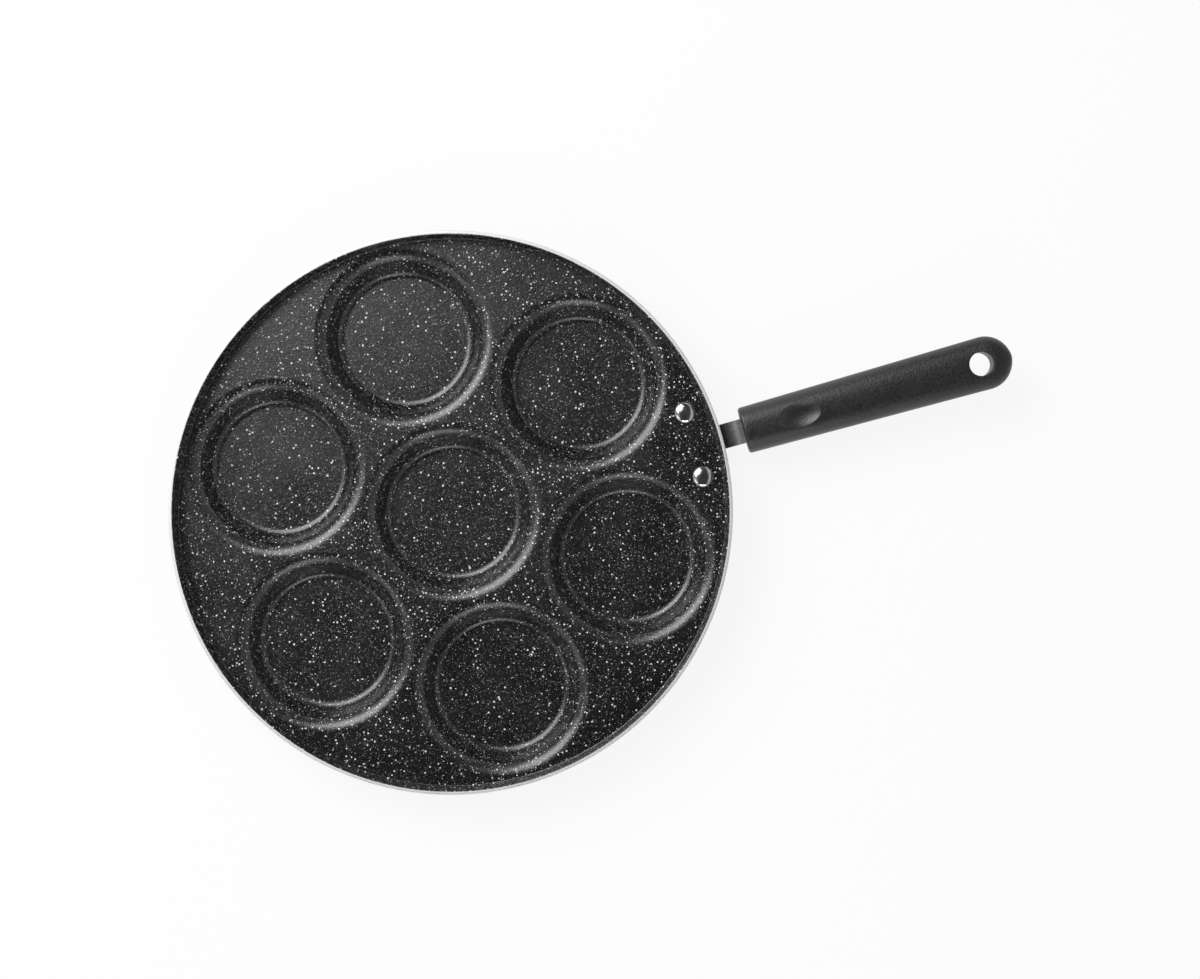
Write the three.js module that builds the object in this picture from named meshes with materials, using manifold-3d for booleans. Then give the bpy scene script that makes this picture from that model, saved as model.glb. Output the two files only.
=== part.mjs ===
// Seven-well egg pan: a pressed aluminium pan, a stamped steel bracket held by two rivets,
// and a moulded grip held on the bracket's tang by one screw from below.
// Millimetres, +Z up, +X along the handle. The origin is the centre of the pan on the plane it stands on.
import * as THREE from 'three';
import { mergeVertices } from 'three/addons/utils/BufferGeometryUtils.js';
import Module from 'manifold-3d';

const wasm = await Module();
wasm.setup();

// Pan: sheet, wells, the land between them and the lip round the edge
const sheet = 1.8;
const outerWells = 6;
const wellFloorRadius = 26.5; // flat part of the floor
const wellDepth = 12;
const wellDraft = 21; // degrees from upright
const wellFloorFillet = 4;
const wellShoulderFillet = 7;
const wellGap = 0.5; // flat land between two well mouths
const rimLand = 0.1; // flat land between a well mouth and the bend of the lip
const lipBend = 1; // inside radius
const lipHeight = 9; // above the land
const lipDraft = 4; // degrees from upright

// Rivets: flat-crowned head in the pan, formed tail under the bracket
const rivetSpacing = 28.6;
const rivetShank = 5;
const rivetHead = 9.2;
const rivetHeadHeight = 2;
const rivetSquareness = 2.5; // 2 is an ellipse, higher is flatter on the crown
const rivetTail = 8;
const rivetTailHeight = 1.6;

// Bracket: a cross plate with two rivet eyes and a tang that steps up past the lip
const bracketThickness = 2;
const bracketEye = 13; // width of the plate round a rivet
const bracketClear = 2.2; // flat land between a rivet eye and the nearest well mouth
const tangWidth = 10.6;
const tangRootFillet = 6;
const tangBend = 7; // radius along the middle of the strip
const tangRise = 26; // degrees, past the lip
const tangSetback = 2.5; // first bend starts this far inward of the rim
const tangNeck = 1; // straight stretch in front of the grip
const tangInsert = 42; // length held inside the grip

// Grip
const handleTilt = 2.5; // degrees above level
const handleReach = 9.7; // rim to the front of the grip, seen from above
const gripLength = 118;
const gripFrontWidth = 20;
const gripEndWidth = 22.8;
const gripFrontThickness = 18;
const gripEndThickness = 13;
const gripFrontRound = 1.2;
const gripSquareness = 2.4; // 2 is an ellipse, higher is squarer
const hangHole = 10.2;
const hangHoleInset = 13.6; // centre to the tip
const hangHoleChamfer = 0.6;
const thumbInset = 24.7; // centre to the front
const thumbLength = 18.5;
const thumbWidth = 10.3;
const thumbDepth = 2;
const thumbCentreHeight = 2; // centre of the hollowing ellipsoid above the grip

// Screw that holds the grip on the tang
const screwInset = 9; // axis to the front of the grip
const screwShank = 3.4;
const screwReach = 5; // tip above the middle of the tang
const screwHead = 6.4;
const screwHeadHeight = 2.2;
const screwCrown = 0.7; // flat share of the head's width
const screwSeat = 3; // grip wall between the head and the tang

// Clearance between pieces that sit in or on each other
const fit = 0.3;

// Facets
const wellSides = 34;
const rimSides = 84;
const smallSides = 28; // rivets, screw and round holes
const floorFilletSteps = 3;
const shoulderSteps = 4;
const lipBendSteps = 3;
const rivetDomeSteps = 5;
const tangBendSteps = 4;
const outlineSteps = 10;
const gripSides = 28;
const gripBodySteps = 10;
const gripTipSteps = 6;
const gripFrontSteps = 2;
const thumbSides = 32;
const thumbRings = 20;
const weldDistance = 1e-4;

// Levels and radii that follow from the sizes above
const rad = THREE.MathUtils.degToRad;
const wallAngle = rad(90 - wellDraft);
const lipAngle = rad(90 - lipDraft);
const landTop = sheet + wellDepth;
const landUnder = landTop - sheet;
const rimTop = landTop + lipHeight;
const filletSum = wellFloorFillet + wellShoulderFillet;
const wallRise = wellDepth - filletSum * (1 - Math.cos(wallAngle));
const mouthRadius = wellFloorRadius + filletSum * Math.sin(wallAngle) + wallRise / Math.tan(wallAngle);
const wellPitch = 2 * mouthRadius + wellGap;
const ringRadius = Math.max(wellPitch, wellPitch / (2 * Math.sin(Math.PI / outerWells)));
const bendStart = ringRadius + mouthRadius + rimLand;
const rimRadius = lipRadiusAt(rimTop, sheet);
const overshoot = sheet / 2; // how far a cutter passes the face that it opens
const leftAndRight = [1, -1];
const rivetX = rivetDistance();
const tilt = rad(handleTilt);
const gripFrontX = rimRadius + handleReach;
const tipRadius = gripEndWidth / 2;
const tipSweep = rad(80); // the round end stops at a small flat
const tipStart = gripLength - tipRadius * Math.sin(tipSweep);
const tipThinning = 0.35; // power that rounds the end in side view

// Radius of the lip at a height: the food side at depth 0, the outside at the full sheet
function lipRadiusAt(height, depth) {
  const bend = lipBend + depth;
  const bendTop = landTop + lipBend - bend * Math.cos(lipAngle);
  return bendStart + bend * Math.sin(lipAngle) + (height - bendTop) / Math.tan(lipAngle);
}

// How far out the rivets sit: each eye keeps its clearance from the well beside the handle
function rivetDistance() {
  const half = Math.PI / outerWells;
  const sideways = ringRadius * Math.sin(half) - rivetSpacing / 2;
  const apart = mouthRadius + bracketClear + bracketEye / 2;
  return ringRadius * Math.cos(half) + Math.sqrt(apart ** 2 - sideways ** 2);
}

function arc(x, y, radius, from, to, steps) {
  return new THREE.ArcCurve(x, y, radius, from, to, to < from).getPoints(steps);
}

// A closed solid from a geometry: vertices welded, collapsed triangles dropped, faces turned outwards
function toSolid(geometry) {
  const bare = new THREE.BufferGeometry();
  bare.setAttribute('position', geometry.getAttribute('position'));
  bare.setIndex(geometry.getIndex());
  const welded = mergeVertices(bare, weldDistance);
  const points = welded.getAttribute('position').array;
  const index = welded.getIndex().array;
  const corners = [];
  let sixVolumes = 0;
  for (let i = 0; i < index.length; i += 3) {
    const [a, b, c] = index.slice(i, i + 3);
    if (a === b || b === c || c === a) {
      continue;
    }
    corners.push(a, b, c);
    const [pa, pb, pc] = [a, b, c].map((v) => new THREE.Vector3().fromArray(points, 3 * v));
    sixVolumes += pa.dot(pb.cross(pc));
  }
  if (sixVolumes < 0) {
    corners.reverse();
  }
  return new wasm.Manifold(new wasm.Mesh({
    numProp: 3,
    vertProperties: new Float32Array(points),
    triVerts: new Uint32Array(corners),
  }));
}

function toGeometry(solid) {
  const mesh = solid.getMesh();
  const geometry = new THREE.BufferGeometry();
  geometry.setAttribute('position', new THREE.BufferAttribute(mesh.vertProperties, 3));
  geometry.setIndex(new THREE.BufferAttribute(mesh.triVerts, 1));
  geometry.computeVertexNormals();
  return geometry;
}

// A profile of (radius, height) points turned about +Z
function turned(profile, sides) {
  return new THREE.LatheGeometry(profile, sides).rotateX(Math.PI / 2);
}

function turnedSolid(profile, sides, x = 0, y = 0) {
  return toSolid(turned(profile, sides).translate(x, y, 0));
}

// A plain round cutter along +Z
function boreSolid(diameter, bottom, top, x = 0, y = 0) {
  const profile = [[0, bottom], [diameter / 2, bottom], [diameter / 2, top], [0, top]];
  return turnedSolid(profile.map(([r, z]) => new THREE.Vector2(r, z)), smallSides, x, y);
}

function joined(solids) {
  return solids.reduce((whole, next) => whole.add(next));
}

function cut(body, cutters) {
  return body.subtract(joined(cutters));
}

// Section of a well at a depth into the sheet: 0 is the food side, the full sheet is the underside.
// It is closed to the axis at a level that is buried in the land or stands in the open dish.
function wellProfile(depth, closedAt) {
  const floorArc = arc(
    wellFloorRadius, sheet + wellFloorFillet, wellFloorFillet + depth,
    -Math.PI / 2, wallAngle - Math.PI / 2, floorFilletSteps,
  );
  const shoulderArc = arc(
    mouthRadius, landTop - wellShoulderFillet, wellShoulderFillet - depth,
    Math.PI / 2 + wallAngle, Math.PI / 2, shoulderSteps,
  );
  return [
    new THREE.Vector2(0, sheet - depth),
    ...floorArc,
    ...shoulderArc,
    new THREE.Vector2(mouthRadius, closedAt),
    new THREE.Vector2(0, closedAt),
  ];
}

// Section of the dish above the land at a depth into the sheet, closed to the axis at a level
function dishProfile(depth, closedAt) {
  const bendArc = arc(
    bendStart, landTop + lipBend, lipBend + depth,
    -Math.PI / 2, lipAngle - Math.PI / 2, lipBendSteps,
  );
  return [
    new THREE.Vector2(0, landTop - depth),
    ...bendArc,
    new THREE.Vector2(lipRadiusAt(closedAt, depth), closedAt),
    new THREE.Vector2(0, closedAt),
  ];
}

// The centre well and the ring of wells, with the handle between two of them
function wellCentres() {
  const ring = Array.from({ length: outerWells }, (_, i) => {
    const angle = ((i + 0.5) * 2 * Math.PI) / outerWells;
    return [ringRadius * Math.cos(angle), ringRadius * Math.sin(angle)];
  });
  return [[0, 0], ...ring];
}

function pressedForm(depth, dishTop, wellTop) {
  const dish = turnedSolid(dishProfile(depth, dishTop), rimSides);
  const wells = wellCentres().map(([x, y]) => turnedSolid(wellProfile(depth, wellTop), wellSides, x, y));
  return joined([dish, ...wells]);
}

function rivetHoles() {
  return leftAndRight.map((side) => boreSolid(
    rivetShank + 2 * fit, landUnder - bracketThickness - overshoot, landTop + overshoot,
    rivetX, (side * rivetSpacing) / 2,
  ));
}

function panBody() {
  const outside = pressedForm(sheet, rimTop, landUnder + sheet / 2);
  const inside = pressedForm(0, rimTop + overshoot, landTop + overshoot);
  return toGeometry(cut(outside, [inside, ...rivetHoles()]));
}

function rivet() {
  const power = 2 / rivetSquareness;
  const dome = arc(0, 0, 1, 0, Math.PI / 2, rivetDomeSteps).map(({ x, y }) => new THREE.Vector2(
    (rivetHead / 2) * x ** power,
    landTop + rivetHeadHeight * y ** power,
  ));
  const tailTop = landUnder - bracketThickness;
  const tailRadius = rivetTail / 2;
  return turned([
    new THREE.Vector2(0, tailTop - rivetTailHeight),
    new THREE.Vector2(tailRadius - rivetTailHeight / 2, tailTop - rivetTailHeight),
    new THREE.Vector2(tailRadius, tailTop - rivetTailHeight / 2),
    new THREE.Vector2(tailRadius, tailTop),
    new THREE.Vector2(rivetShank / 2, tailTop),
    new THREE.Vector2(rivetShank / 2, landTop),
    ...dome,
  ], smallSides);
}

// The middle line of the bracket seen from the side: level under the land, up past the lip,
// then along the grip. Each stop is a place and a heading.
function bracketPath() {
  const rise = rad(tangRise);
  const firstBend = rimRadius - tangSetback;
  const bendsLength = tangBend * (2 * Math.sin(rise) - Math.sin(tilt));
  const riser = gripFrontX - tangNeck * Math.cos(tilt) - firstBend - bendsLength;
  const path = [];
  const place = new THREE.Vector2(rivetX - bracketEye, landUnder - bracketThickness / 2);
  const straight = (length, heading) => {
    place.add(new THREE.Vector2(Math.cos(heading), Math.sin(heading)).multiplyScalar(length));
    path.push({ x: place.x, z: place.y, heading });
  };
  const bend = (from, to) => {
    const step = (to - from) / tangBendSteps;
    const chord = 2 * tangBend * Math.sin(Math.abs(step) / 2);
    for (let i = 0; i < tangBendSteps; i += 1) {
      straight(chord, from + (i + 0.5) * step);
      path.at(-1).heading = from + (i + 1) * step;
    }
  };
  straight(0, 0);
  straight(firstBend - place.x, 0);
  bend(0, rise);
  straight(riser / Math.cos(rise), rise);
  bend(rise, tilt);
  straight(tangNeck, tilt);
  const gripFront = path.at(-1);
  straight(tangInsert, tilt);
  return { path, gripFront };
}

const { path: bracketLine, gripFront } = bracketPath();
const handleMatrix = new THREE.Matrix4()
  .makeTranslation(gripFront.x, 0, gripFront.z)
  .multiply(new THREE.Matrix4().makeRotationY(-tilt));

// The strip seen from the side, as an outline of even thickness round its middle line
function bracketSideShape() {
  const offset = (side) => bracketLine.map(({ x, z, heading }) => new THREE.Vector2(
    x - (side * bracketThickness * Math.sin(heading)) / 2,
    z + (side * bracketThickness * Math.cos(heading)) / 2,
  ));
  return new THREE.Shape([...offset(1), ...offset(-1).reverse()]);
}

// The blank seen from above: two round eyes joined by a cross plate, and the tang
function bracketPlanShape() {
  const eye = bracketEye / 2;
  const rivetY = rivetSpacing / 2;
  const tangY = tangWidth / 2;
  const rootX = rivetX + eye;
  const tangEnd = bracketLine.at(-1).x + overshoot;
  const shape = new THREE.Shape();
  shape.moveTo(tangEnd, -tangY);
  shape.lineTo(tangEnd, tangY);
  shape.absarc(rootX + tangRootFillet, tangY + tangRootFillet, tangRootFillet, -Math.PI / 2, Math.PI, true);
  shape.absarc(rivetX, rivetY, eye, 0, Math.PI, false);
  shape.absarc(rivetX, -rivetY, eye, Math.PI, 2 * Math.PI, false);
  shape.absarc(rootX + tangRootFillet, -tangY - tangRootFillet, tangRootFillet, Math.PI, Math.PI / 2, true);
  return shape;
}

function handleBracket() {
  const width = rivetSpacing + bracketEye + 2 * overshoot;
  const strip = new THREE.ExtrudeGeometry(bracketSideShape(), { depth: width, bevelEnabled: false })
    .rotateX(Math.PI / 2)
    .translate(0, width / 2, 0);
  const bottom = landUnder - bracketThickness - overshoot;
  const top = bracketLine.at(-1).z + bracketThickness + overshoot;
  const blank = new THREE.ExtrudeGeometry(bracketPlanShape(), {
    depth: top - bottom,
    bevelEnabled: false,
    curveSegments: outlineSteps,
  }).translate(0, 0, bottom);
  const screwHole = toSolid(screwBore().applyMatrix4(handleMatrix));
  return toGeometry(cut(toSolid(strip).intersect(toSolid(blank)), [...rivetHoles(), screwHole]));
}

// The places along the grip where its section is set: front edge, body, round tip
function gripStations() {
  const stations = [];
  const taper = (x, from, to) => THREE.MathUtils.lerp(from, to, x / tipStart) / 2;
  const halfWidth = (x) => taper(x, gripFrontWidth, gripEndWidth);
  const halfThickness = (x) => taper(x, gripFrontThickness, gripEndThickness);
  for (let i = 0; i <= gripFrontSteps; i += 1) {
    const turn = (i / gripFrontSteps) * (Math.PI / 2);
    const x = gripFrontRound * (1 - Math.cos(turn));
    const inset = gripFrontRound * (1 - Math.sin(turn));
    stations.push({ x, width: halfWidth(x) - inset, thickness: halfThickness(x) - inset });
  }
  for (let i = 1; i <= gripBodySteps; i += 1) {
    const x = THREE.MathUtils.lerp(gripFrontRound, tipStart, i / gripBodySteps);
    stations.push({ x, width: halfWidth(x), thickness: halfThickness(x) });
  }
  for (let i = 1; i <= gripTipSteps; i += 1) {
    const turn = (i / gripTipSteps) * tipSweep;
    const x = tipStart + tipRadius * Math.sin(turn);
    const thin = Math.cos(turn) ** tipThinning;
    stations.push({ x, width: tipRadius * Math.cos(turn), thickness: (thin * gripEndThickness) / 2 });
  }
  return stations;
}

// Height of the grip's top above its middle plane
function gripTopAt(x, y) {
  const share = x / tipStart;
  const width = THREE.MathUtils.lerp(gripFrontWidth, gripEndWidth, share) / 2;
  const thickness = THREE.MathUtils.lerp(gripFrontThickness, gripEndThickness, share) / 2;
  return thickness * (1 - Math.abs(y / width) ** gripSquareness) ** (1 / gripSquareness);
}

// The grip's skin: a round bar whose rings are moved to the stations and squared up
function gripSkin() {
  const stations = gripStations();
  const last = stations.length - 1;
  const geometry = new THREE.CylinderGeometry(1, 1, 1, gripSides, last);
  const position = geometry.getAttribute('position');
  const squared = (value) => Math.sign(value) * Math.abs(value) ** (2 / gripSquareness);
  for (let i = 0; i < position.count; i += 1) {
    const station = stations[Math.round((position.getY(i) + 0.5) * last)];
    const y = station.width * squared(position.getX(i));
    const z = station.thickness * squared(position.getZ(i));
    position.setXYZ(i, station.x, y, z);
  }
  return geometry;
}

// The hanging hole with a bevelled edge on both faces
function hangHoleCutter() {
  const radius = hangHole / 2;
  const x = gripLength - hangHoleInset;
  const face = gripTopAt(x, radius);
  const far = face + overshoot;
  const wide = radius + hangHoleChamfer + overshoot;
  const profile = [
    [0, -far], [wide, -far], [radius, hangHoleChamfer - face],
    [radius, face - hangHoleChamfer], [wide, far], [0, far],
  ];
  return turnedSolid(profile.map(([r, z]) => new THREE.Vector2(r, z)), smallSides, x);
}

// The thumb recess is the part of an ellipsoid that dips into the crowned top
function thumbCutter() {
  const top = gripTopAt(thumbInset, 0);
  const centre = top + thumbCentreHeight;
  const drop = thumbCentreHeight + thumbDepth;
  const reach = (half, surface) => half / Math.sqrt(1 - ((centre - surface) / drop) ** 2);
  const halfLength = reach(thumbLength / 2, top);
  const halfWidth = reach(thumbWidth / 2, gripTopAt(thumbInset, thumbWidth / 2));
  return toSolid(new THREE.SphereGeometry(1, thumbSides, thumbRings)
    .scale(halfLength, halfWidth, drop)
    .translate(thumbInset, 0, centre));
}

// The slot in the front of the grip that takes the tang
function tangSocket() {
  const length = tangInsert + fit + overshoot;
  return toSolid(new THREE.BoxGeometry(length, tangWidth + 2 * fit, bracketThickness + 2 * fit)
    .translate(length / 2 - overshoot, 0, 0));
}

// Clearance for the screw's shank, from below its seat to past its tip
function screwBore() {
  const radius = screwShank / 2 + fit;
  const bottom = screwSeatLevel() - overshoot;
  const top = screwReach + fit;
  const profile = [[0, bottom], [radius, bottom], [radius, top], [0, top]];
  return turned(profile.map(([r, z]) => new THREE.Vector2(r, z)), smallSides).translate(screwInset, 0, 0);
}

// Level of the grip's inner face that the screw head pulls against
function screwSeatLevel() {
  return -(bracketThickness / 2 + fit + screwSeat);
}

function screwCounterbore() {
  const bottom = -gripFrontThickness / 2 - overshoot;
  return boreSolid(screwHead + 4 * fit, bottom, screwSeatLevel(), screwInset);
}

function handleGrip() {
  return toGeometry(cut(toSolid(gripSkin()), [
    hangHoleCutter(),
    thumbCutter(),
    tangSocket(),
    toSolid(screwBore()),
    screwCounterbore(),
  ]));
}

function handleScrew() {
  const headTop = screwSeatLevel() - fit;
  const headBottom = headTop - screwHeadHeight;
  const radius = screwHead / 2;
  const shank = screwShank / 2;
  const crown = radius * screwCrown;
  const profile = [
    [0, headBottom], [crown, headBottom], [radius, headBottom + screwHeadHeight / 2], [radius, headTop],
    [shank, headTop], [shank, screwReach - shank], [0, screwReach],
  ];
  return turned(profile.map(([r, z]) => new THREE.Vector2(r, z)), smallSides).translate(screwInset, 0, 0);
}

function piece(name, geometry, look) {
  const mesh = new THREE.Mesh(geometry, new THREE.MeshStandardMaterial(look));
  mesh.name = name;
  return mesh;
}

const coatedAluminium = { color: 0x2b2b2c, roughness: 0.45, metalness: 0.1 };
const dullSteel = { color: 0x77787a, roughness: 0.4, metalness: 0.9 };
const polishedMetal = { color: 0xd4d6d8, roughness: 0.15, metalness: 1 };
const blackMoulding = { color: 0x2a2a2b, roughness: 0.5, metalness: 0 };

const eggPan = new THREE.Group();
eggPan.add(piece('pan_body', panBody(), coatedAluminium));
eggPan.add(piece('handle_bracket', handleBracket(), dullSteel));
for (const side of leftAndRight) {
  const rivetMesh = piece(side > 0 ? 'rivet_left' : 'rivet_right', rivet(), polishedMetal);
  rivetMesh.position.set(rivetX, (side * rivetSpacing) / 2, 0);
  eggPan.add(rivetMesh);
}

const handle = new THREE.Group();
handle.position.set(gripFront.x, 0, gripFront.z);
handle.rotation.y = -tilt;
handle.add(piece('handle_grip', handleGrip(), blackMoulding));
handle.add(piece('handle_screw', handleScrew(), dullSteel));
eggPan.add(handle);

export default eggPan;
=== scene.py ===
import math

import bmesh
import bpy
import numpy as np
from mathutils import Matrix, Vector


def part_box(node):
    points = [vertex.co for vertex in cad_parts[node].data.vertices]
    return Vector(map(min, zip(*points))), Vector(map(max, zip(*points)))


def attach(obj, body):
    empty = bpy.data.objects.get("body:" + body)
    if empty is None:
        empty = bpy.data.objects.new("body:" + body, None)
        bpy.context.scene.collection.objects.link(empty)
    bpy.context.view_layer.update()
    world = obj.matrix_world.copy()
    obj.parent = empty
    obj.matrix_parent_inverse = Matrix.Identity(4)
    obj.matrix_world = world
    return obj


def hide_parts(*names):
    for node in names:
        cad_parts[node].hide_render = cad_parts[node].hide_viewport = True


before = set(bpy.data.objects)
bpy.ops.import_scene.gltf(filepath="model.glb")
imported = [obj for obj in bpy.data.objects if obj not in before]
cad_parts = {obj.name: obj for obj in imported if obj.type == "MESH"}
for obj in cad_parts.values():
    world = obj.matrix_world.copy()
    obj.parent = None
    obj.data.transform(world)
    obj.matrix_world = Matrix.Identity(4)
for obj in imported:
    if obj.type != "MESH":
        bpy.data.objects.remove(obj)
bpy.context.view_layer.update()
scene = bpy.context.scene
scene.view_settings.view_transform = "Standard"

# Camera: it looks straight down, as in the photograph. The pan's centre, its rim and the handle's
# direction in the 1200 by 979 picture give the camera's place, lens and turn.
picture_size = Vector((1200, 979))
pan_centre_pixel = Vector((450.6, 512.7))
rim_radius_pixels = 282.5
handle_turn = math.radians(15.65)
camera_above_rim = 0.85
sensor_width = 36  # in millimetres, as the lens is
pan_low, pan_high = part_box("pan_body")
rim_radius = pan_high.x
rim_top = pan_high.z
metres_per_pixel = rim_radius / rim_radius_pixels
picture_turn = Matrix.Rotation(-handle_turn, 4, "Z")


def in_picture(right, up, height):
    """A place in the frame, in metres along the picture's own right and up from the pan's centre."""
    return picture_turn @ Vector((right, up, height))


def linked(name, data):
    """A new object in the scene for a mesh, a lamp or the camera."""
    item = bpy.data.objects.new(name, data)
    scene.collection.objects.link(item)
    return item


to_middle = (picture_size / 2 - pan_centre_pixel) * metres_per_pixel
camera = linked("camera", bpy.data.cameras.new("camera"))
camera.data.sensor_width = sensor_width
camera.data.lens = sensor_width * camera_above_rim / (metres_per_pixel * picture_size.x)
camera.location = in_picture(to_middle.x, -to_middle.y, rim_top + camera_above_rim)
camera.rotation_euler = (0, 0, -handle_turn)
scene.camera = camera

# Pan body: one disc of aluminium sheet, pressed cold into seven flat-bottomed wells and a low lip.
# The food side has a black coating with pale specks, the outside a satin black paint. The top of
# the lip and the bottoms of the wells are turned bare afterwards.
sheet = 0.0018
lip_height = 0.009
lip_bend = 0.0005  # tighter than the solid's, which would show as a light line along the lip
lip_lean = math.radians(4)
outer_wells = 6
well_floor_radius = 0.0265
well_lean = math.radians(21)
floor_fillet = 0.004
shoulder_fillet = 0.007
well_gap = 0.0005
rim_round = 0.0004
rivet_spacing = 0.0286
rivet_shank = 0.005
fit = 0.0003
flat_guard = 0.00002  # narrow flat ring that keeps the land's shading level
weld = 1e-6
well_steps = 128
lip_steps = 288
rivet_hole_steps = 48
floor_fillet_steps = 10
shoulder_steps = 14
lip_bend_steps = 10
rim_round_steps = 4

quarter = math.pi / 2
wall_angle = quarter - well_lean
lip_angle = quarter - lip_lean
land_top = rim_top - lip_height
land_under = land_top - sheet
well_depth = land_under - pan_low.z
fillet_sum = floor_fillet + shoulder_fillet
wall_rise = well_depth - fillet_sum * (1 - math.cos(wall_angle))
mouth_radius = well_floor_radius + fillet_sum * math.sin(wall_angle) + wall_rise / math.tan(wall_angle)
ring_radius = 2 * mouth_radius + well_gap
rivet_low, rivet_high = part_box("rivet_left")
rivet_x = (rivet_low.x + rivet_high.x) / 2
rivet_places = [Vector((rivet_x, side * rivet_spacing / 2, 0)) for side in (1, -1)]
well_turns = [(i + 0.5) * 2 * math.pi / outer_wells for i in range(outer_wells)]
well_ring = [Vector((ring_radius * math.cos(a), ring_radius * math.sin(a), 0)) for a in well_turns]
pan_centre = Vector((0, 0, 0))
well_centres = [pan_centre, *well_ring]


def lip_reach(height, depth):
    """How far the lip's face at a depth into the sheet has leaned out since the start of its bend."""
    bend = lip_bend + depth
    bend_top = land_top + lip_bend - bend * math.cos(lip_angle)
    return bend * math.sin(lip_angle) + (height - bend_top) / math.tan(lip_angle)


bend_start = rim_radius - lip_reach(rim_top, sheet)


def arc(centre_x, centre_z, radius, start, end, steps):
    """Points of a round stretch of a section."""
    turns = np.linspace(start, end, steps + 1)
    return [(centre_x + radius * math.cos(a), centre_z + radius * math.sin(a)) for a in turns]


def well_section(depth):
    """Three stretches of a well's section at a depth into the sheet: flat floor, fillet and shoulder."""
    level = sheet - depth
    fillet = arc(
        well_floor_radius, sheet + floor_fillet, floor_fillet + depth,
        -quarter, wall_angle - quarter, floor_fillet_steps,
    )
    shoulder = arc(
        mouth_radius, land_top - shoulder_fillet, shoulder_fillet - depth,
        quarter + wall_angle, quarter, shoulder_steps,
    )
    flat = [(0, level), (well_floor_radius - flat_guard, level), fillet[0]]
    return flat, fillet, [*shoulder, (mouth_radius + flat_guard, land_top - depth)]


def lip_section(depth):
    """Section of the lip from the land to its top edge, at a depth into the sheet."""
    return [
        (bend_start - flat_guard, land_top - depth),
        *arc(
            bend_start, land_top + lip_bend, lip_bend + depth,
            -quarter, lip_angle - quarter, lip_bend_steps,
        ),
        (bend_start + lip_reach(rim_top, depth), rim_top),
    ]


def spin_section(mesh, section, centre, steps, finish=0):
    """Turns a section of (radius, height) points about an upright axis and adds it to a mesh."""
    turned = bmesh.new()
    from_axis = turned.verts.layers.float_vector.new("from_axis")
    points = [turned.verts.new((centre.x + radius, centre.y, height)) for radius, height in section]
    edges = [turned.edges.new(pair) for pair in zip(points, points[1:])]
    bmesh.ops.spin(
        turned, geom=points + edges, cent=centre, axis=(0, 0, 1),
        angle=2 * math.pi, steps=steps, use_merge=True,
    )
    for point in turned.verts:
        point[from_axis] = point.co - centre
    for face in turned.faces:
        face.material_index = finish
    data = bpy.data.meshes.new("turned")
    turned.to_mesh(data)
    turned.free()
    mesh.from_mesh(data)
    bpy.data.meshes.remove(data)


def open_edges(mesh, level):
    """The edges at a level that still want a face beside them."""
    return [
        edge for edge in mesh.edges
        if len(edge.link_faces) < 2 and all(abs(end.co.z - level) < weld for end in edge.verts)
    ]


def made_mesh(name, mesh, crease=math.radians(40)):
    """Closes a modelled shape: seams merged, faces outwards, smooth up to a crease angle."""
    bmesh.ops.remove_doubles(mesh, verts=mesh.verts, dist=weld)
    bmesh.ops.recalc_face_normals(mesh, faces=mesh.faces)
    data = bpy.data.meshes.new(name)
    mesh.to_mesh(data)
    mesh.free()
    data.shade_smooth()
    data.set_sharp_from_angle(angle=crease)
    return data


food_side, outside, bare_edge, turned_bottom = range(4)
coated_lip, painted_lip = lip_section(0), lip_section(sheet)
pan_mesh = bmesh.new()
for centre in well_centres:
    flat, fillet, shoulder = well_section(0)
    spin_section(pan_mesh, [*flat[:-1], *fillet, *shoulder], centre, well_steps, food_side)
    flat, fillet, shoulder = well_section(sheet)
    spin_section(pan_mesh, flat, centre, well_steps, turned_bottom)
    spin_section(pan_mesh, [*fillet, *shoulder], centre, well_steps, outside)
spin_section(pan_mesh, coated_lip, pan_centre, lip_steps, food_side)
spin_section(pan_mesh, painted_lip, pan_centre, lip_steps, outside)
spin_section(pan_mesh, [coated_lip[-1], painted_lip[-1]], pan_centre, lip_steps, bare_edge)
bmesh.ops.remove_doubles(pan_mesh, verts=pan_mesh.verts, dist=weld)
for place in rivet_places:
    hole = bmesh.ops.create_circle(
        pan_mesh, segments=rivet_hole_steps, radius=rivet_shank / 2 + fit,
        matrix=Matrix.Translation(place + Vector((0, 0, land_top))),
    )
    hole_edge = {edge for point in hole["verts"] for edge in point.link_edges}
    sunk = bmesh.ops.extrude_edge_only(pan_mesh, edges=list(hole_edge))["geom"]
    sunk_points = [item for item in sunk if isinstance(item, bmesh.types.BMVert)]
    bmesh.ops.translate(pan_mesh, verts=sunk_points, vec=(0, 0, -sheet))
for level, up, finish in ((land_top, 1, food_side), (land_under, -1, outside)):
    land = bmesh.ops.triangle_fill(
        pan_mesh, use_beauty=True, edges=open_edges(pan_mesh, level), normal=(0, 0, up),
    )
    for item in land["geom"]:
        if isinstance(item, bmesh.types.BMFace):
            item.material_index = finish
bmesh.ops.recalc_face_normals(pan_mesh, faces=pan_mesh.faces)
rim_corners = [
    edge for edge in pan_mesh.edges
    if [face.material_index == bare_edge for face in edge.link_faces].count(True) == 1
]
bmesh.ops.bevel(
    pan_mesh, geom=rim_corners, offset=rim_round, affect="EDGES",
    segments=rim_round_steps, profile=0.5, material=-1,
)
bare_start = coated_lip[-1][0] + rim_round  # the coating stays on the inner round of the lip's top
for face in pan_mesh.faces:
    middle = face.calc_center_median()
    if middle.z > rim_top - rim_round:
        face.material_index = bare_edge if middle.xy.length > bare_start else food_side


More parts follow.
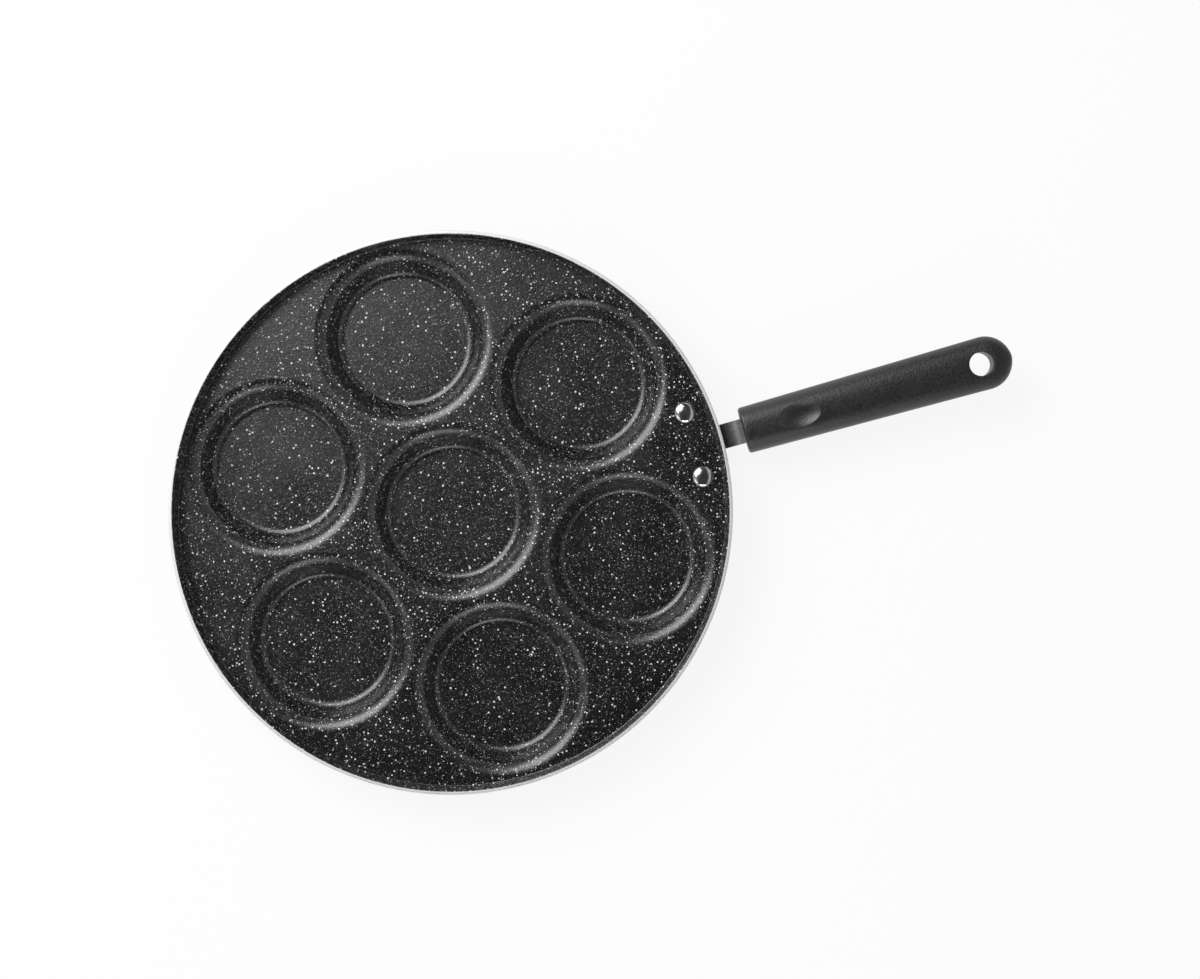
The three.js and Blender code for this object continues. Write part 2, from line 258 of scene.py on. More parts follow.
def add_node(tree, kind, inputs=None, **settings):
    """A shader node; each input is a value for its socket or another node's output to link."""
    node = tree.nodes.new(kind)
    for name, value in settings.items():
        setattr(node, name, value)
    for socket, value in (inputs or {}).items():
        if isinstance(value, bpy.types.NodeSocket):
            tree.links.new(value, node.inputs[socket])
        else:
            node.inputs[socket].default_value = value
    return node


def add_sum(tree, operation, *terms):
    """The result of one sum on numbers or sockets."""
    return add_node(tree, "ShaderNodeMath", dict(enumerate(terms)), operation=operation).outputs[0]


def blend_colours(tree, share, first, second):
    """Two colours blended by a share from 0 to 1."""
    mix = add_node(tree, "ShaderNodeMix", data_type="RGBA")
    factor, colour_a, colour_b, result = mix.inputs[0], mix.inputs[6], mix.inputs[7], mix.outputs[2]
    tree.links.new(share, factor)
    for socket, value in ((colour_a, first), (colour_b, second)):
        if isinstance(value, bpy.types.NodeSocket):
            tree.links.new(value, socket)
        else:
            socket.default_value = (*value, 1)
    return result


def new_group(name, inputs, outputs):
    """A shader node group with its named sockets: the group, its inputs and its outputs."""
    group = bpy.data.node_groups.new(name, "ShaderNodeTree")
    for socket, kind in inputs.items():
        group.interface.new_socket(name=socket, in_out="INPUT", socket_type=kind)
    for socket, kind in outputs.items():
        group.interface.new_socket(name=socket, in_out="OUTPUT", socket_type=kind)
    return group, group.nodes.new("NodeGroupInput").outputs, group.nodes.new("NodeGroupOutput").inputs


def new_material(name):
    """A new material, its node tree and its surface shader."""
    material = bpy.data.materials.new(name)
    material.use_nodes = True
    tree = material.node_tree
    shader = next(node for node in tree.nodes if node.type == "BSDF_PRINCIPLED")
    return material, tree, shader


number = "NodeSocketFloat"
direction = "NodeSocketVector"
flake_edge = 0.8  # the share of a flake's radius that is fully covered
smallest_flake = 0.5  # the smallest flake's share of the largest one's radius
flake_falloff = 2.3  # the higher it is, the fewer flakes are bright
specks, speck_in, speck_out = new_group("coating_specks", {
    "Place": direction, "Cells": number, "Radius": number,
    "Share": number, "Dimmest": number, "Brightest": number,
}, {"Shade": number})
flakes = add_node(specks, "ShaderNodeTexVoronoi", {
    "Vector": speck_in["Place"], "Scale": speck_in["Cells"],
})
chance = add_node(specks, "ShaderNodeSeparateColor", {"Color": flakes.outputs["Color"]})
flake_size = add_node(specks, "ShaderNodeMapRange", {
    "Value": chance.outputs["Blue"], "To Min": smallest_flake, "To Max": 1.0,
})
largest_reach = add_sum(specks, "MULTIPLY", speck_in["Radius"], speck_in["Cells"])
flake_reach = add_sum(specks, "MULTIPLY", largest_reach, flake_size.outputs["Result"])
cover = add_node(specks, "ShaderNodeMapRange", {
    "Value": flakes.outputs["Distance"],
    "From Min": flake_reach,
    "From Max": add_sum(specks, "MULTIPLY", flake_reach, flake_edge),
}, interpolation_type="SMOOTHSTEP")
present = add_sum(specks, "LESS_THAN", chance.outputs["Red"], speck_in["Share"])
brightness = add_node(specks, "ShaderNodeMapRange", {
    "Value": add_sum(specks, "POWER", chance.outputs["Green"], flake_falloff),
    "To Min": speck_in["Dimmest"],
    "To Max": speck_in["Brightest"],
})
shown = add_sum(specks, "MULTIPLY", cover.outputs["Result"], present)
specks.links.new(add_sum(specks, "MULTIPLY", shown, brightness.outputs["Result"]), speck_out["Shade"])

usual_noise = (0.7, 1.3)  # where most of the sum of the slow and the fine noise lies
unevenness, uneven_in, uneven_out = new_group("unevenness", {
    "Place": direction, "Slow": number, "Fine": number, "Least": number, "Most": number,
}, {"Value": number, "Grain": number})
slow_noise = add_node(unevenness, "ShaderNodeTexNoise", {
    "Vector": uneven_in["Place"], "Scale": uneven_in["Slow"], "Detail": 3.0,
})
fine_noise = add_node(unevenness, "ShaderNodeTexNoise", {
    "Vector": uneven_in["Place"], "Scale": uneven_in["Fine"], "Detail": 2.0,
})
spread = add_node(unevenness, "ShaderNodeMapRange", {
    "Value": add_sum(unevenness, "ADD", slow_noise.outputs["Fac"], fine_noise.outputs["Fac"]),
    "From Min": usual_noise[0], "From Max": usual_noise[1],
    "To Min": uneven_in["Least"], "To Max": uneven_in["Most"],
})
unevenness.links.new(spread.outputs["Result"], uneven_out["Value"])
unevenness.links.new(fine_noise.outputs["Fac"], uneven_out["Grain"])


def add_unevenness(tree, place, slow, fine, least=0.0, most=1.0):
    """Slow and fine noise between two values, and the fine noise by itself as a grain."""
    values = {"Place": place, "Slow": slow, "Fine": fine, "Least": least, "Most": most}
    return add_node(tree, "ShaderNodeGroup", values, node_tree=unevenness).outputs


def add_bump(tree, shader, height, strength, distance):
    """Raises the surface's look by a height pattern."""
    bump = add_node(tree, "ShaderNodeBump", {
        "Height": height, "Strength": strength, "Distance": distance,
    })
    tree.links.new(bump.outputs["Normal"], shader.inputs["Normal"])


def object_place(tree):
    """Where a point lies in the object's own frame."""
    return add_node(tree, "ShaderNodeTexCoord").outputs["Object"]


def speckled_coating():
    """Black non-stick coating with a stony scatter of pale flakes in three sizes."""
    flake_layers = (
        {"Cells": 480.0, "Radius": 0.00045, "Share": 0.75, "Dimmest": 0.9, "Brightest": 1.0},
        {"Cells": 1080.0, "Radius": 0.0003, "Share": 1.0, "Dimmest": 0.08, "Brightest": 1.0},
        {"Cells": 1300.0, "Radius": 0.00042, "Share": 0.8, "Dimmest": 0.001, "Brightest": 0.1},
    )
    flake_white = (0.95, 0.95, 0.94)
    darkest, lightest = (0.0003, 0.0003, 0.0003), (0.009, 0.009, 0.0092)
    grain_cells = 1500.0
    grain_falloff = 2.0
    ragged_scale = 1400.0
    ragged_shift = 0.0005
    material, tree, shader = new_material("speckled_coating")
    place = object_place(tree)
    ragged = add_node(tree, "ShaderNodeTexNoise", {"Vector": place, "Scale": ragged_scale, "Detail": 1.0})
    shifted = add_node(tree, "ShaderNodeVectorMath", {
        0: ragged.outputs["Color"], 1: (ragged_shift, ragged_shift, ragged_shift), 2: place,
    }, operation="MULTIPLY_ADD").outputs["Vector"]
    large, middling, small = (
        add_node(tree, "ShaderNodeGroup", {"Place": shifted, **layer}, node_tree=specks).outputs["Shade"]
        for layer in flake_layers
    )
    shade = add_sum(tree, "MAXIMUM", add_sum(tree, "MAXIMUM", large, middling), small)
    grains = add_node(tree, "ShaderNodeTexVoronoi", {"Vector": shifted, "Scale": grain_cells})
    grain = add_node(tree, "ShaderNodeSeparateColor", {"Color": grains.outputs["Color"]}).outputs["Red"]
    black = blend_colours(tree, add_sum(tree, "POWER", grain, grain_falloff), darkest, lightest)
    tree.links.new(blend_colours(tree, shade, black, flake_white), shader.inputs["Base Color"])
    gloss = add_unevenness(tree, place, slow=40.0, fine=1500.0, least=0.22, most=0.34)
    tree.links.new(gloss["Value"], shader.inputs["Roughness"])
    add_bump(tree, shader, gloss["Grain"], strength=0.42, distance=0.0002)
    shader.inputs["IOR"].default_value = 1.7
    return material


def outside_paint():
    """Satin black heat-proof paint on the outside of the pan."""
    dark, light = (0.012, 0.012, 0.0125), (0.02, 0.02, 0.0205)
    material, tree, shader = new_material("outside_paint")
    place = object_place(tree)
    tint = add_unevenness(tree, place, slow=30.0, fine=700.0)
    tree.links.new(blend_colours(tree, tint["Value"], dark, light), shader.inputs["Base Color"])
    gloss = add_unevenness(tree, place, slow=60.0, fine=1500.0, least=0.42, most=0.55)
    tree.links.new(gloss["Value"], shader.inputs["Roughness"])
    add_bump(tree, shader, gloss["Grain"], strength=0.2, distance=0.0002)
    return material


def turned_metal(name, place_of, dark, light, smooth, rough, pitch):
    """Bare metal with the fine rings that a lathe tool leaves round an axis."""
    ring_share, tint_share = 0.8, 0.5
    material, tree, shader = new_material(name)
    place = place_of(tree)
    flat = add_node(tree, "ShaderNodeVectorMath", {0: place, 1: (1, 1, 0)}, operation="MULTIPLY")
    radius = add_node(tree, "ShaderNodeVectorMath", {0: flat.outputs["Vector"]}, operation="LENGTH")
    rings = add_node(tree, "ShaderNodeTexNoise", {
        "W": radius.outputs["Value"], "Scale": 1 / pitch, "Detail": 3.0,
    }, noise_dimensions="1D").outputs["Fac"]
    tint = add_unevenness(tree, place, slow=45.0, fine=1200.0, most=tint_share)
    share = add_sum(tree, "MULTIPLY_ADD", rings, ring_share, tint["Value"])
    tree.links.new(blend_colours(tree, share, dark, light), shader.inputs["Base Color"])
    gloss = add_node(tree, "ShaderNodeMapRange", {"Value": share, "To Min": smooth, "To Max": rough})
    tree.links.new(gloss.outputs["Result"], shader.inputs["Roughness"])
    add_bump(tree, shader, rings, strength=0.3, distance=0.0001)
    shader.inputs["Metallic"].default_value = 1
    return material


def well_middle_place(tree):
    """Where a point lies from the middle of its own well."""
    return add_node(tree, "ShaderNodeAttribute", attribute_name="from_axis").outputs["Vector"]


pan = linked("pressed_pan", made_mesh("pressed_pan", pan_mesh))
for material in (
    speckled_coating(),
    outside_paint(),
    turned_metal(
        "bare_rim", object_place, dark=(0.7, 0.7, 0.71), light=(0.81, 0.81, 0.81),
        smooth=0.5, rough=0.65, pitch=0.0003,
    ),
    turned_metal(
        "turned_bottoms", well_middle_place, dark=(0.45, 0.45, 0.46), light=(0.8, 0.8, 0.81),
        smooth=0.25, rough=0.42, pitch=0.0006,
    ),
):
    pan.data.materials.append(material)
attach(pan, "root")
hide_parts("pan_body")

# Handle bracket: a steel blank stamped with two rivet eyes and a long tang, then bent up twice so that
# the tang clears the lip and runs into the grip. Two rivets hold it under the pan.
bracket_thickness = 0.002
bracket_eye = 0.013
bracket_edge_round = 0.0002
tang_width = 0.0106
tang_root_fillet = 0.006
tang_bend = 0.007
tang_rise = math.radians(26)
tang_setback = 0.0025
tang_neck = 0.001
tang_insert = 0.042
handle_tilt = math.radians(2.5)
handle_reach = 0.0097
screw_inset = 0.009
screw_shank = 0.0034
tang_bend_steps = 8
tang_root_steps = 12
bracket_eye_steps = 28
bracket_hole_steps = 32

strip_level = land_under - bracket_thickness / 2
first_bend = rim_radius - tang_setback
along_grip = Vector((math.cos(handle_tilt), math.sin(handle_tilt)))
riser_run = (
    rim_radius + handle_reach - first_bend - tang_neck * along_grip.x
    - tang_bend * (2 * math.sin(tang_rise) - math.sin(handle_tilt))
)
lower_bend = arc(
    first_bend, strip_level + tang_bend, tang_bend, -quarter, tang_rise - quarter, tang_bend_steps,
)
riser_end = Vector(lower_bend[-1]) + Vector((riser_run, riser_run * math.tan(tang_rise)))
upper_centre = riser_end + tang_bend * Vector((math.sin(tang_rise), -math.cos(tang_rise)))
upper_bend = arc(
    *upper_centre, tang_bend, quarter + tang_rise, quarter + handle_tilt, tang_bend_steps,
)
grip_front = Vector(upper_bend[-1]) + tang_neck * along_grip
tang_end = grip_front + tang_insert * along_grip
strip_line = [(rivet_x - bracket_eye, strip_level), *lower_bend, *upper_bend, tuple(tang_end)]

eye = bracket_eye / 2
root_x = rivet_x + eye
root_y = tang_width / 2 + tang_root_fillet
half_outline = [
    (tang_end.x, tang_width / 2),
    *arc(root_x + tang_root_fillet, root_y, tang_root_fillet, -quarter, -2 * quarter, tang_root_steps),
    *arc(rivet_x, rivet_spacing / 2, eye, 0, 2 * quarter, bracket_eye_steps),
]
blank = bmesh.new()
corners = [blank.verts.new((x, y, 0)) for x, y in half_outline]
corners += [blank.verts.new((x, -y, 0)) for x, y in reversed(half_outline)]
for pair in zip(corners, corners[1:] + corners[:1]):
    blank.edges.new(pair)
screw_place = Vector((grip_front.x + screw_inset * along_grip.x, 0, 0))
for place, shank in (*[(place, rivet_shank) for place in rivet_places], (screw_place, screw_shank)):
    bmesh.ops.create_circle(
        blank, segments=bracket_hole_steps, radius=shank / 2 + fit, matrix=Matrix.Translation(place),
    )
bmesh.ops.triangle_fill(blank, use_beauty=True, edges=blank.edges, normal=(0, 0, 1))
for x, _ in strip_line[1:-1]:
    bmesh.ops.bisect_plane(
        blank, geom=[*blank.verts, *blank.edges, *blank.faces], plane_co=(x, 0, 0), plane_no=(1, 0, 0),
    )
line_x, line_z = zip(*strip_line)
for corner in blank.verts:
    corner.co.z = np.interp(corner.co.x, line_x, line_z)


def stamped_steel():
    """Dull rolled steel, a little mottled by the pickling bath."""
    dark, light = (0.135, 0.135, 0.14), (0.3, 0.3, 0.305)
    material, tree, shader = new_material("stamped_steel")
    place = object_place(tree)
    mottle = add_unevenness(tree, place, slow=90.0, fine=900.0)
    tree.links.new(blend_colours(tree, mottle["Value"], dark, light), shader.inputs["Base Color"])
    gloss = add_unevenness(tree, place, slow=120.0, fine=1600.0, least=0.4, most=0.58)
    tree.links.new(gloss["Value"], shader.inputs["Roughness"])
    add_bump(tree, shader, gloss["Grain"], strength=0.3, distance=0.0002)
    shader.inputs["Metallic"].default_value = 1
    return material


bracket = linked("bracket", made_mesh("bracket", blank))
thicken = bracket.modifiers.new("thickness", "SOLIDIFY")
thicken.thickness = bracket_thickness
thicken.offset = 0
thicken.use_even_offset = True
soften = bracket.modifiers.new("stamped_edge", "BEVEL")
soften.width = bracket_edge_round
soften.segments = 2
soften.limit_method = "ANGLE"
soften.angle_limit = math.radians(50)
soften.harden_normals = True
bracket.data.materials.append(stamped_steel())
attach(bracket, "root")
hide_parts("handle_bracket")

# Rivets: two solid aluminium rivets. The polished heads, flat on the crown and round at the edge, sit in
# the pan, and the tails are set flat under the bracket, which clamps it to the land between two wells.
rivet_head = 0.0092
rivet_head_height = rivet_high.z - land_top
rivet_squareness = 2.5  # 2 is an ellipse, higher is flatter on the crown
rivet_tail = 0.008
rivet_tail_height = 0.0016
rivet_steps = 64
rivet_head_steps = 24
rivet_tail_steps = 8
head_power = 2 / rivet_squareness
tail_top = land_under - bracket_thickness
tail_bottom = tail_top - rivet_tail_height
tail_round = rivet_tail_height / 2
rivet_section = [
    (0, tail_bottom),
    *arc(
        rivet_tail / 2 - tail_round, tail_bottom + tail_round, tail_round,
        -quarter, 0, rivet_tail_steps,
    ),
    (rivet_tail / 2, tail_top),
    (rivet_shank / 2, tail_top),
    (rivet_shank / 2, land_top),
    *[
        (rivet_head / 2 * x ** head_power, land_top + rivet_head_height * z ** head_power)
        for x, z in arc(0, 0, 1, 0, quarter, rivet_head_steps)
    ],
]


def polished_rivet():
    """Polished aluminium, a little clouded by the buffing wheel."""
    dark, light = (0.72, 0.72, 0.73), (0.79, 0.79, 0.79)
    material, tree, shader = new_material("polished_rivet")
    place = object_place(tree)
    tint = add_unevenness(tree, place, slow=300.0, fine=2500.0)
    tree.links.new(blend_colours(tree, tint["Value"], dark, light), shader.inputs["Base Color"])
    gloss = add_unevenness(tree, place, slow=400.0, fine=3000.0, least=0.1, most=0.2)
    tree.links.new(gloss["Value"], shader.inputs["Roughness"])
    add_bump(tree, shader, gloss["Grain"], strength=0.08, distance=0.0001)
    shader.inputs["Metallic"].default_value = 1
    return material


rivet_finish = polished_rivet()
for side, place in zip(("left", "right"), rivet_places):
    rivet_mesh = bmesh.new()
    spin_section(rivet_mesh, rivet_section, place, rivet_steps)
    rivet = linked("polished_rivet_" + side, made_mesh("polished_rivet_" + side, rivet_mesh))
    rivet.data.materials.append(rivet_finish)
    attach(rivet, "root")
    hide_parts("rivet_" + side)

# Grip: one solid moulding of black heat-proof plastic, satin from the mould. It has a slot in front for
# the tang, an oval rest for the thumb on top, a hole to hang it by and a sunk seat for its screw below.
grip_length = 0.118
grip_front_width = 0.02
grip_end_width = 0.0228
grip_front_thickness = 0.018
grip_end_thickness = 0.01298  # a hair under the solid's, so that the finer mesh stays in its box
grip_front_round = 0.0012
grip_squareness = 2.4  # 2 is an ellipse, higher is nearer to a rectangle
tip_sweep = math.radians(88)
tip_thinning = 0.35  # the higher it is, the sooner the tip gets thin
hang_hole = 0.0102
hang_hole_inset = 0.0136
hang_hole_round = 0.0008
thumb_inset = 0.0247
thumb_length = 0.0185
thumb_width = 0.0103
thumb_depth = 0.002
thumb_centre_height = 0.002
screw_reach = 0.005
screw_head = 0.0064
screw_head_height = 0.0022
screw_seat = 0.003
beyond = 0.001  # how far a cutter passes the face that it opens
grip_sides = 112
front_rings, body_rings, tip_rings = 9, 60, 32
hang_hole_steps = 96
flare_steps = 5
thumb_sides, thumb_rings = 96, 64
screw_steps = 48
tip_radius = grip_end_width / 2
tip_start = grip_length - tip_radius
seat_level = -(bracket_thickness / 2 + fit + screw_seat)
grip_frame = (
    Matrix.Translation((grip_front.x, 0, grip_front.y)) @ Matrix.Rotation(-handle_tilt, 4, "Y")
)


def grip_half(x, front, end):
    """Half the grip's width or thickness at a place along its straight taper."""
    return (front + (end - front) * x / tip_start) / 2


def grip_rings():
    """Place, half width and half thickness of each ring: front edge, body and round tip."""
    rings = []
    for turn in np.linspace(0, quarter, front_rings):
        x = grip_front_round * (1 - math.cos(turn))
        inset = grip_front_round * (1 - math.sin(turn))
        rings.append((
            x,
            grip_half(x, grip_front_width, grip_end_width) - inset,
            grip_half(x, grip_front_thickness, grip_end_thickness) - inset,
        ))
    for x in np.linspace(grip_front_round, tip_start, body_rings)[1:]:
        rings.append((
            x,
            grip_half(x, grip_front_width, grip_end_width),
            grip_half(x, grip_front_thickness, grip_end_thickness),
        ))
    for turn in np.linspace(0, tip_sweep, tip_rings)[1:]:
        thin = math.cos(turn) ** tip_thinning
        rings.append((
            tip_start + tip_radius * math.sin(turn),
            tip_radius * math.cos(turn),
            thin * grip_end_thickness / 2,
        ))
    return rings


def grip_top(x, y):
    """Height of the grip's top above its middle plane."""
    width = grip_half(x, grip_front_width, grip_end_width)
    thickness = grip_half(x, grip_front_thickness, grip_end_thickness)
    return thickness * (1 - abs(y / width) ** grip_squareness) ** (1 / grip_squareness)


def squared(value):
    """A circle's coordinate pushed out towards a square."""
    return math.copysign(abs(value) ** (2 / grip_squareness), value)


def carved(body, cutters, crease=math.radians(25)):
    """A mesh with the cutters' shapes taken out of it."""
    block = linked("block", body)
    tools = [linked("tool", cutter) for cutter in cutters]
    for tool in tools:
        cut = block.modifiers.new("cut", "BOOLEAN")
        cut.object = tool
        cut.operation = "DIFFERENCE"
        cut.solver = "EXACT"
    result = bpy.data.meshes.new_from_object(block.evaluated_get(bpy.context.evaluated_depsgraph_get()))
    for item in (block, *tools):
        shape = item.data
        bpy.data.objects.remove(item)
        bpy.data.meshes.remove(shape)
    result.shade_smooth()
    result.set_sharp_from_angle(angle=crease)
    return result


rings = grip_rings()
bar = bmesh.new()
bmesh.ops.create_cone(bar, cap_ends=True, segments=grip_sides, radius1=1, radius2=1, depth=1)
lengthwise = [edge for edge in bar.edges if abs(edge.verts[0].co.z - edge.verts[1].co.z) > weld]
bmesh.ops.subdivide_edges(bar, edges=lengthwise, cuts=len(rings) - 2, use_grid_fill=True)
for point in bar.verts:
    x, width, thickness = rings[round((point.co.z + 0.5) * (len(rings) - 1))]
    point.co = (x, width * squared(point.co.x), thickness * squared(point.co.y))

hole_x = grip_length - hang_hole_inset
hole_face = grip_top(hole_x, hang_hole / 2)
hole_far = grip_top(hole_x, 0) + beyond
flare = arc(
    hang_hole / 2 + hang_hole_round, hole_face - hang_hole_round, hang_hole_round,
    2 * quarter, 1.5 * quarter, flare_steps,
)
flare.append((flare[-1][0] + hole_far - flare[-1][1], hole_far))
hole_section = [(0, -hole_far), *[(r, -z) for r, z in reversed(flare)], *flare, (0, hole_far)]
hole_cutter = bmesh.new()
spin_section(hole_cutter, hole_section, Vector((hole_x, 0, 0)), hang_hole_steps)

thumb_top = grip_top(thumb_inset, 0)
thumb_drop = thumb_centre_height + thumb_depth
thumb_centre = thumb_top + thumb_centre_height
side_drop = thumb_centre - grip_top(thumb_inset, thumb_width / 2)
thumb_cutter = bmesh.new()
bmesh.ops.create_uvsphere(thumb_cutter, u_segments=thumb_sides, v_segments=thumb_rings, radius=1)
bmesh.ops.scale(thumb_cutter, verts=thumb_cutter.verts, vec=(
    thumb_length / 2 / math.sqrt(1 - (thumb_centre_height / thumb_drop) ** 2),
    thumb_width / 2 / math.sqrt(1 - (side_drop / thumb_drop) ** 2),
    thumb_drop,
))
bmesh.ops.translate(thumb_cutter, verts=thumb_cutter.verts, vec=(thumb_inset, 0, thumb_centre))

slot_cutter = bmesh.new()
bmesh.ops.create_cube(slot_cutter, size=1)
bmesh.ops.scale(slot_cutter, verts=slot_cutter.verts, vec=(
    tang_insert + fit + beyond, tang_width + 2 * fit, bracket_thickness + 2 * fit,
))
slot_middle = (tang_insert + fit - beyond) / 2
bmesh.ops.translate(slot_cutter, verts=slot_cutter.verts, vec=(slot_middle, 0, 0))

seat_radius = screw_head / 2 + 2 * fit
seat_far = -grip_front_thickness / 2 - beyond
bore_radius = screw_shank / 2 + fit
bore_end = screw_reach + fit
seat_cutter = bmesh.new()
spin_section(seat_cutter, [
    (0, seat_far), (seat_radius, seat_far), (seat_radius, seat_level),
    (bore_radius, seat_level), (bore_radius, bore_end), (0, bore_end),
], Vector((screw_inset, 0, 0)), screw_steps)


def satin_moulding():
    """Black moulded plastic with the fine even texture of an etched mould."""
    dark, light = (0.0005, 0.0005, 0.0005), (0.021, 0.021, 0.0213)
    material, tree, shader = new_material("satin_moulding")
    place = object_place(tree)
    tint = add_unevenness(tree, place, slow=30.0, fine=1100.0)
    tree.links.new(blend_colours(tree, tint["Value"], dark, light), shader.inputs["Base Color"])
    gloss = add_unevenness(tree, place, slow=35.0, fine=1100.0, least=0.36, most=0.46)
    tree.links.new(gloss["Value"], shader.inputs["Roughness"])
    add_bump(tree, shader, gloss["Grain"], strength=0.6, distance=0.0002)
    shader.inputs["IOR"].default_value = 1.66
    return material


grip_mesh = carved(made_mesh("grip", bar), [
    made_mesh("cutter", cutter) for cutter in (hole_cutter, thumb_cutter, slot_cutter, seat_cutter)
])
grip_mesh.transform(grip_frame)
grip = linked("moulded_grip", grip_mesh)
grip.data.materials.append(satin_moulding())
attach(grip, "root")
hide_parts("handle_grip")

# Grip screw: a zinc-plated steel screw with a rounded head and a cross recess. It goes in from below
# and holds the grip on the tang.
recess_width = 0.0009
recess_length = 0.0036
recess_depth = 0.0011
crown_steps = 8
head_top = seat_level - fit
head_bottom = head_top - screw_head_height
crown_round = screw_head_height / 2
screw_mesh = bmesh.new()
spin_section(screw_mesh, [
    (0, head_bottom),
    *arc(screw_head / 2 - crown_round, head_bottom + crown_round, crown_round, -quarter, 0, crown_steps),
    (screw_head / 2, head_top),
    (screw_shank / 2, head_top),
    (screw_shank / 2, screw_reach - screw_shank / 2),
    (0, screw_reach),
], Vector((screw_inset, 0, 0)), screw_steps)
recess_cutters = []
for long_x, long_y in ((recess_length, recess_width), (recess_width, recess_length)):
    bit = bmesh.new()
    bmesh.ops.create_cube(bit, size=1)
    bmesh.ops.scale(bit, verts=bit.verts, vec=(long_x, long_y, 2 * recess_depth))
    bmesh.ops.translate(bit, verts=bit.verts, vec=(screw_inset, 0, head_bottom))
    recess_cutters.append(made_mesh("cutter", bit))


def zinc_plate():
    """Bright zinc plate, a little cloudy."""
    dark, light = (0.48, 0.49, 0.51), (0.68, 0.69, 0.71)
    material, tree, shader = new_material("zinc_plate")
    place = object_place(tree)
    cloud = add_unevenness(tree, place, slow=500.0, fine=2500.0)
    tree.links.new(blend_colours(tree, cloud["Value"], dark, light), shader.inputs["Base Color"])
    gloss = add_unevenness(tree, place, slow=600.0, fine=3000.0, least=0.25, most=0.4)
    tree.links.new(gloss["Value"], shader.inputs["Roughness"])
    shader.inputs["Metallic"].default_value = 1
    return material


screw_shape = carved(made_mesh("screw", screw_mesh), recess_cutters)
screw_shape.transform(grip_frame)
screw = linked("grip_screw", screw_shape)
screw.data.materials.append(zinc_plate())
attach(screw, "root")
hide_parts("handle_screw")

# Studio: a white floor that keeps a faint shadow, in a room with a white horizon, dim walls on the left
# and right and a dark ceiling. A large softbox lights the pan from the picture's upper left, and a small
# overhead card and two low panels in front and at the lower left add the sheen on the coating.
floor_half = 4.0
floor_white = 0.9
floor_glow = 0.88  # share of the floor's look that is plain white, next to the pan
floor_fade = (0.4, 1.2)  # from where to where, out from the pan, the floor turns all white
zenith_light = 0.036
left_light = 0.29
right_light = 0.48
horizon_light = 1.08
ceiling_edge = (0.3, 0.5)  # how far sideways a direction points where the ceiling turns into a wall
horizon_edge = (0.1, 0.4)  # how far up a direction points where the horizon fades out
floor_mesh = bmesh.new()
bmesh.ops.create_grid(floor_mesh, x_segments=1, y_segments=1, size=floor_half)
floor = linked("floor", made_mesh("floor", floor_mesh))
floor_material, floor_tree, floor_shader = new_material("white_floor")
floor_shader.inputs["Base Color"].default_value = (floor_white, floor_white, floor_white, 1)
floor_shader.inputs["Roughness"].default_value = 1
floor_shader.inputs["Specular IOR Level"].default_value = 0
light_path = add_node(floor_tree, "ShaderNodeLightPath").outputs
seen = add_sum(floor_tree, "MAXIMUM", light_path["Is Camera Ray"], light_path["Is Glossy Ray"])
seen = add_sum(floor_tree, "MAXIMUM", seen, light_path["Is Transmission Ray"])
from_pan = add_node(
    floor_tree, "ShaderNodeVectorMath", {0: object_place(floor_tree)}, operation="LENGTH",
)
glow = add_node(floor_tree, "ShaderNodeMapRange", {
    "Value": from_pan.outputs["Value"], "From Min": floor_fade[0], "From Max": floor_fade[1],
    "To Min": floor_glow, "To Max": 1.0,
}, interpolation_type="SMOOTHSTEP")
white = add_node(floor_tree, "ShaderNodeEmission", {"Color": (1, 1, 1, 1), "Strength": 1.0})
lit_floor = add_node(floor_tree, "ShaderNodeMixShader", {
    0: add_sum(floor_tree, "MULTIPLY", seen, glow.outputs["Result"]),
    1: floor_shader.outputs["BSDF"],
    2: white.outputs["Emission"],
})
floor_output = next(node for node in floor_tree.nodes if node.type == "OUTPUT_MATERIAL")
floor_tree.links.new(lit_floor.outputs["Shader"], floor_output.inputs["Surface"])
floor.data.materials.append(floor_material)

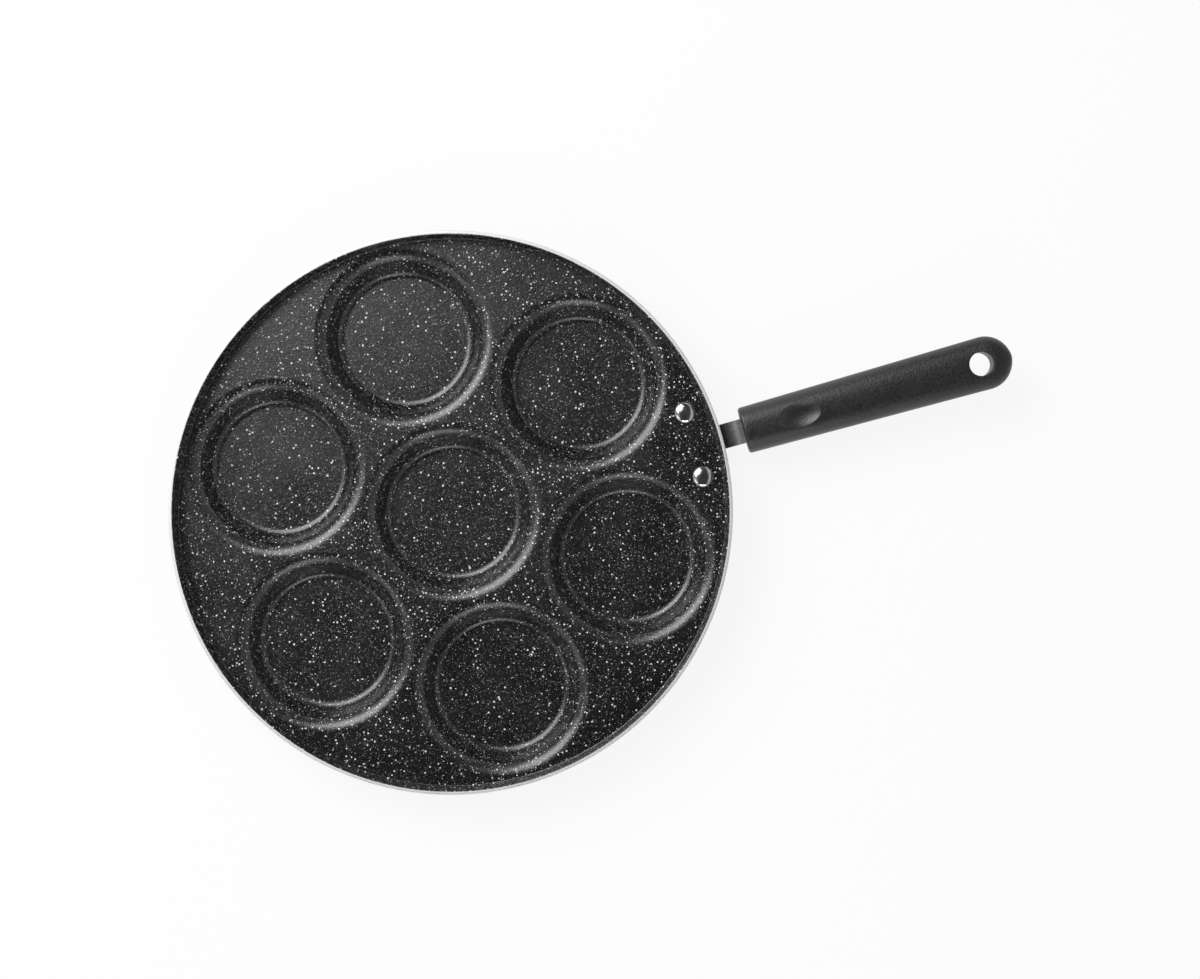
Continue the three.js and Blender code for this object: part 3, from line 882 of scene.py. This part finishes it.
world = bpy.data.worlds.new("studio")
world.use_nodes = True
scene.world = world
sky = world.node_tree
sky.nodes.clear()
towards = add_node(sky, "ShaderNodeTexCoord").outputs["Generated"]
sideways = add_node(
    sky, "ShaderNodeVectorMath", {0: towards, 1: in_picture(1, 0, 0)}, operation="DOT_PRODUCT",
).outputs["Value"]
side_light = add_node(sky, "ShaderNodeMapRange", {
    "Value": sideways, "From Min": -ceiling_edge[0], "From Max": ceiling_edge[0],
    "To Min": left_light, "To Max": right_light,
})
side_walls = add_node(sky, "ShaderNodeMapRange", {
    "Value": add_sum(sky, "ABSOLUTE", sideways),
    "From Min": ceiling_edge[0], "From Max": ceiling_edge[1],
    "To Min": zenith_light, "To Max": side_light.outputs["Result"],
}, interpolation_type="SMOOTHSTEP")
upwards = add_node(sky, "ShaderNodeSeparateXYZ", {0: towards}).outputs["Z"]
horizon = add_node(sky, "ShaderNodeMapRange", {
    "Value": upwards, "From Min": horizon_edge[0], "From Max": horizon_edge[1],
    "To Min": horizon_light, "To Max": 0.0,
}, interpolation_type="SMOOTHSTEP")
room_light = add_sum(sky, "MAXIMUM", side_walls.outputs["Result"], horizon.outputs["Result"])
room = add_node(sky, "ShaderNodeBackground", {"Color": (1, 1, 1, 1), "Strength": room_light})
backdrop = add_node(sky, "ShaderNodeBackground", {"Color": (1, 1, 1, 1), "Strength": 1.0})
sky_path = add_node(sky, "ShaderNodeLightPath").outputs
behind = add_sum(sky, "MAXIMUM", sky_path["Is Camera Ray"], sky_path["Is Transmission Ray"])
sky_mix = add_node(sky, "ShaderNodeMixShader", {
    0: behind, 1: room.outputs["Background"], 2: backdrop.outputs["Background"],
})
add_node(sky, "ShaderNodeOutputWorld", {"Surface": sky_mix.outputs["Shader"]})

pan_top = Vector((0, 0, land_top))


def add_softbox(name, place, wide, tall, power):
    """A soft rectangular lamp that faces the middle of the pan."""
    lamp = linked(name, bpy.data.lights.new(name, "AREA"))
    lamp.data.shape = "RECTANGLE"
    lamp.data.size = wide
    lamp.data.size_y = tall
    lamp.data.energy = power
    lamp.location = place
    lamp.rotation_euler = (pan_top - place).to_track_quat("-Z", "Y").to_euler()
    lamp.visible_camera = False


add_softbox("key_softbox", in_picture(-0.65, 0.69, 0.98), wide=1.0, tall=1.0, power=18.6)
add_softbox("overhead_card", in_picture(-0.24, 0.34, 1.3), wide=0.3, tall=0.3, power=0.42)
add_softbox("front_panel", in_picture(0.1, -1.0, 0.65), wide=0.7, tall=0.4, power=2.9)
add_softbox("side_panel", in_picture(-0.75, -0.53, 0.65), wide=0.5, tall=0.5, power=0.9)
